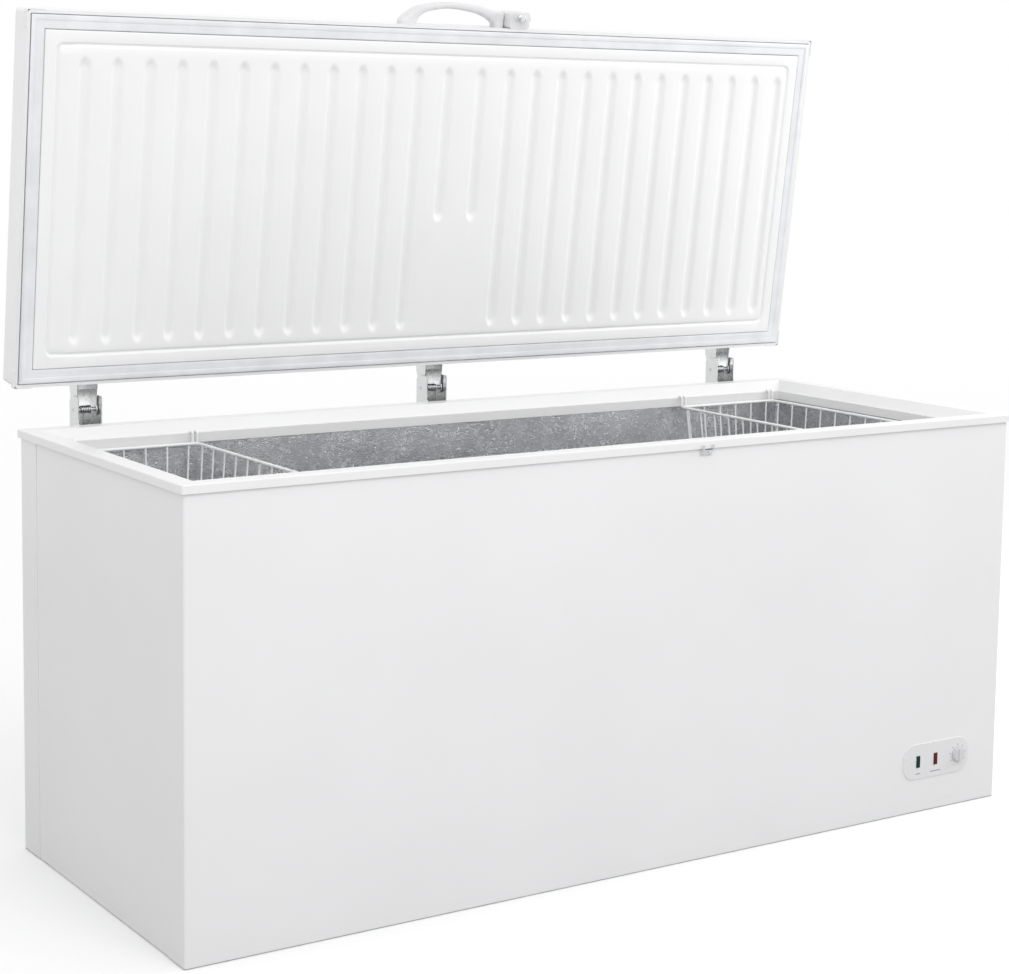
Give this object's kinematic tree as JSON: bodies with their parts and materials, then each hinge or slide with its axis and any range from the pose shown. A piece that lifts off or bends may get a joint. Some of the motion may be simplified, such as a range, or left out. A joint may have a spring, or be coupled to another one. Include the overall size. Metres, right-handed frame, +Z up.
{
  "type": "chest freezer",
  "caption": "Wide white chest freezer with a counterbalanced lid standing open, stucco-lined well with a step, hanging wire baskets, lockable handle and a front control plate.",
  "frame": {"origin": "centre of the cabinet's footprint on the underside of the base pan", "axes": "+X to the right seen from the front, +Y to the back, +Z up"},
  "size_m": [1.82, 0.7933, 1.599],
  "materials": {
    "white_steel": "gloss",
    "white_plastic": "satin",
    "panel_plastic": "satin",
    "stucco_aluminium": "satin",
    "gasket_rubber": "matte",
    "foam": "matte",
    "zinc_steel": "satin",
    "chrome": "polished",
    "spring_steel": "polished",
    "galvanised": "matte",
    "coated_wire": "gloss",
    "copper": "satin",
    "black_paint": "satin",
    "black_rubber": "matte",
    "black_plastic": "matte",
    "green_lens": "gloss",
    "red_lens": "gloss",
    "dial_plastic": "satin",
    "plate_plastic": "satin"
  },
  "bodies": {
    "cabinet": {"base_pan": "galvanised", "front_panel": "white_steel", "back_panel": "white_steel", "left_side_panel": "white_steel", "right_side_panel": "white_steel", "top_frame": "white_plastic", "inner_liner": "stucco_aluminium", "cabinet_foam": "foam", "bay_lining": "galvanised", "evaporator_coil": "copper", "front_condenser_coil": "copper", "back_condenser_coil": "copper", "compressor": "black_paint", "compressor_feet": "black_rubber", "compressor_bolts": "zinc_steel", "starter_cover": "black_plastic", "suction_pipe": "copper", "discharge_pipe": "copper", "filter_drier": "copper", "capillary_tube": "copper", "cable_gland": "black_rubber", "control_plate": "plate_plastic", "power_lens": "green_lens", "alarm_lens": "red_lens", "power_lamp_holder": "black_plastic", "alarm_lamp_holder": "black_plastic", "thermostat": "black_plastic", "left_hinge_bracket": "zinc_steel", "middle_hinge_bracket": "zinc_steel", "right_hinge_bracket": "zinc_steel", "hinge_pins": "chrome", "hinge_springs": "spring_steel", "hinge_screws": "zinc_steel", "striker": "chrome", "striker_screws": "zinc_steel"},
    "lid": {"lid_outer_shell": "white_steel", "lid_inner_panel": "panel_plastic", "lid_foam": "foam", "lid_gasket": "gasket_rubber", "lid_corner_caps": "white_plastic", "left_hinge_leaf": "zinc_steel", "middle_hinge_leaf": "zinc_steel", "right_hinge_leaf": "zinc_steel", "leaf_screws": "zinc_steel", "handle": "white_plastic", "handle_screws": "zinc_steel", "lock_housing": "white_plastic"},
    "lock": {"lock_barrel": "chrome"},
    "dial": {"thermostat_dial": "dial_plastic"},
    "basket_left": {"left_basket": "coated_wire"},
    "basket_right": {"right_basket": "coated_wire"}
  },
  "joints": [
    {"name": "lid_hinge", "type": "hinge", "parent": "cabinet", "child": "lid", "pos_m": [0, 0.396, 0.8125], "axis": [1, 0, 0], "range_deg": [0, 82.75], "stiffness_Nm_per_rad": 28, "springref_deg": -14.32},
    {"name": "lock_turn", "type": "hinge", "parent": "lid", "child": "lock", "pos_m": [0.133, 0.28693, 1.5708], "axis": [0, -0.992, -0.1262], "range_deg": [0, 90]},
    {"name": "dial_turn", "type": "hinge", "parent": "cabinet", "child": "dial", "pos_m": [0.799, -0.356, 0.104], "axis": [0, 1, 0], "range_deg": [0, 300]},
    {"name": "left_basket_slide", "type": "slide", "parent": "cabinet", "child": "basket_left", "axis": [1, 0, 0], "range_m": [0, 0.55]},
    {"name": "right_basket_slide", "type": "slide", "parent": "cabinet", "child": "basket_right", "axis": [-1, 0, 0], "range_m": [0, 0.55]}
  ]
}
